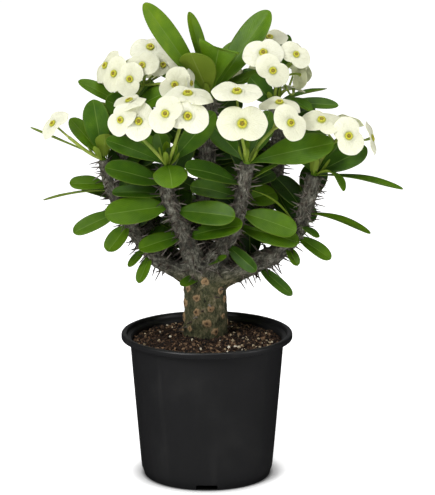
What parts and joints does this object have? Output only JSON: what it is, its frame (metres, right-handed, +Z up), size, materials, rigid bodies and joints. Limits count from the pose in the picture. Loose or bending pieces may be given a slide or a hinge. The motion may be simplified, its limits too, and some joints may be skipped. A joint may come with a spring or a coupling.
{
  "type": "potted crown of thorns plant",
  "caption": "Round black nursery pot with soil and a thick spiny woody stem that forks into upright branches, with oval leaves and clusters of cream two-bract flowers.",
  "frame": {"origin": "on the pot's axis, on the surface that the pot stands on, at the middle of the pot's raised-edge base", "axes": "+Z up; +Y away from the side that the plant is seen from; +X to the right of it"},
  "size_m": [0.3641, 0.191, 0.472],
  "materials": {
    "pot_plastic": "matte black moulded polypropylene",
    "soil": "moist dark potting mix of peat, bark and perlite",
    "bark": "rough grey-brown bark with thorns",
    "leaf": "smooth, slightly glossy leaf",
    "crown_leaf": "smooth, slightly glossy young leaf",
    "bract": "soft satin cream bract, with a yellow-green cup"
  },
  "bodies": {
    "root": {"crown_leaves_far_left": "crown_leaf", "crown_leaves_front_left": "crown_leaf", "crown_leaves_front_right": "crown_leaf", "crown_leaves_right": "crown_leaf", "crown_leaves_top": "crown_leaf", "crown_leaves_upper_left": "crown_leaf", "crown_leaves_upper_right": "crown_leaf", "flower_far_left": "bract", "flowers_back_centre": "bract", "flowers_back_left": "bract", "flowers_back_right": "bract", "flowers_front_centre": "bract", "flowers_front_left": "bract", "flowers_front_middle": "bract", "flowers_front_right": "bract", "flowers_right": "bract", "flowers_upper_left": "bract", "flowers_upper_right": "bract", "leaf_back_left_1": "leaf", "leaf_back_left_2": "leaf", "leaf_back_left_3": "leaf", "leaf_back_right_1": "leaf", "leaf_back_right_2": "leaf", "leaf_back_right_3": "leaf", "leaf_centre_1": "leaf", "leaf_centre_2": "leaf", "leaf_centre_3": "leaf", "leaf_far_left_1": "leaf", "leaf_far_left_2": "leaf", "leaf_far_left_3": "leaf", "leaf_far_left_4": "leaf", "leaf_far_left_5": "leaf", "leaf_far_left_6": "leaf", "leaf_far_left_7": "leaf", "leaf_front_left_1": "leaf", "leaf_front_left_2": "leaf", "leaf_front_left_3": "leaf", "leaf_front_left_4": "leaf", "leaf_front_left_5": "leaf", "leaf_front_left_6": "leaf", "leaf_front_left_7": "leaf", "leaf_front_right_1": "leaf", "leaf_front_right_2": "leaf", "leaf_front_right_3": "leaf", "leaf_front_right_4": "leaf", "leaf_front_right_5": "leaf", "leaf_front_right_6": "leaf", "leaf_front_right_7": "leaf", "leaf_front_right_8": "leaf", "leaf_right_1": "leaf", "leaf_right_2": "leaf", "leaf_right_3": "leaf", "leaf_right_4": "leaf", "leaf_right_5": "leaf", "leaf_right_6": "leaf", "leaf_trunk_1": "leaf", "leaf_trunk_2": "leaf", "pot": "pot_plastic", "soil": "soil", "woody_stem": "bark"}
  },
  "joints": []
}
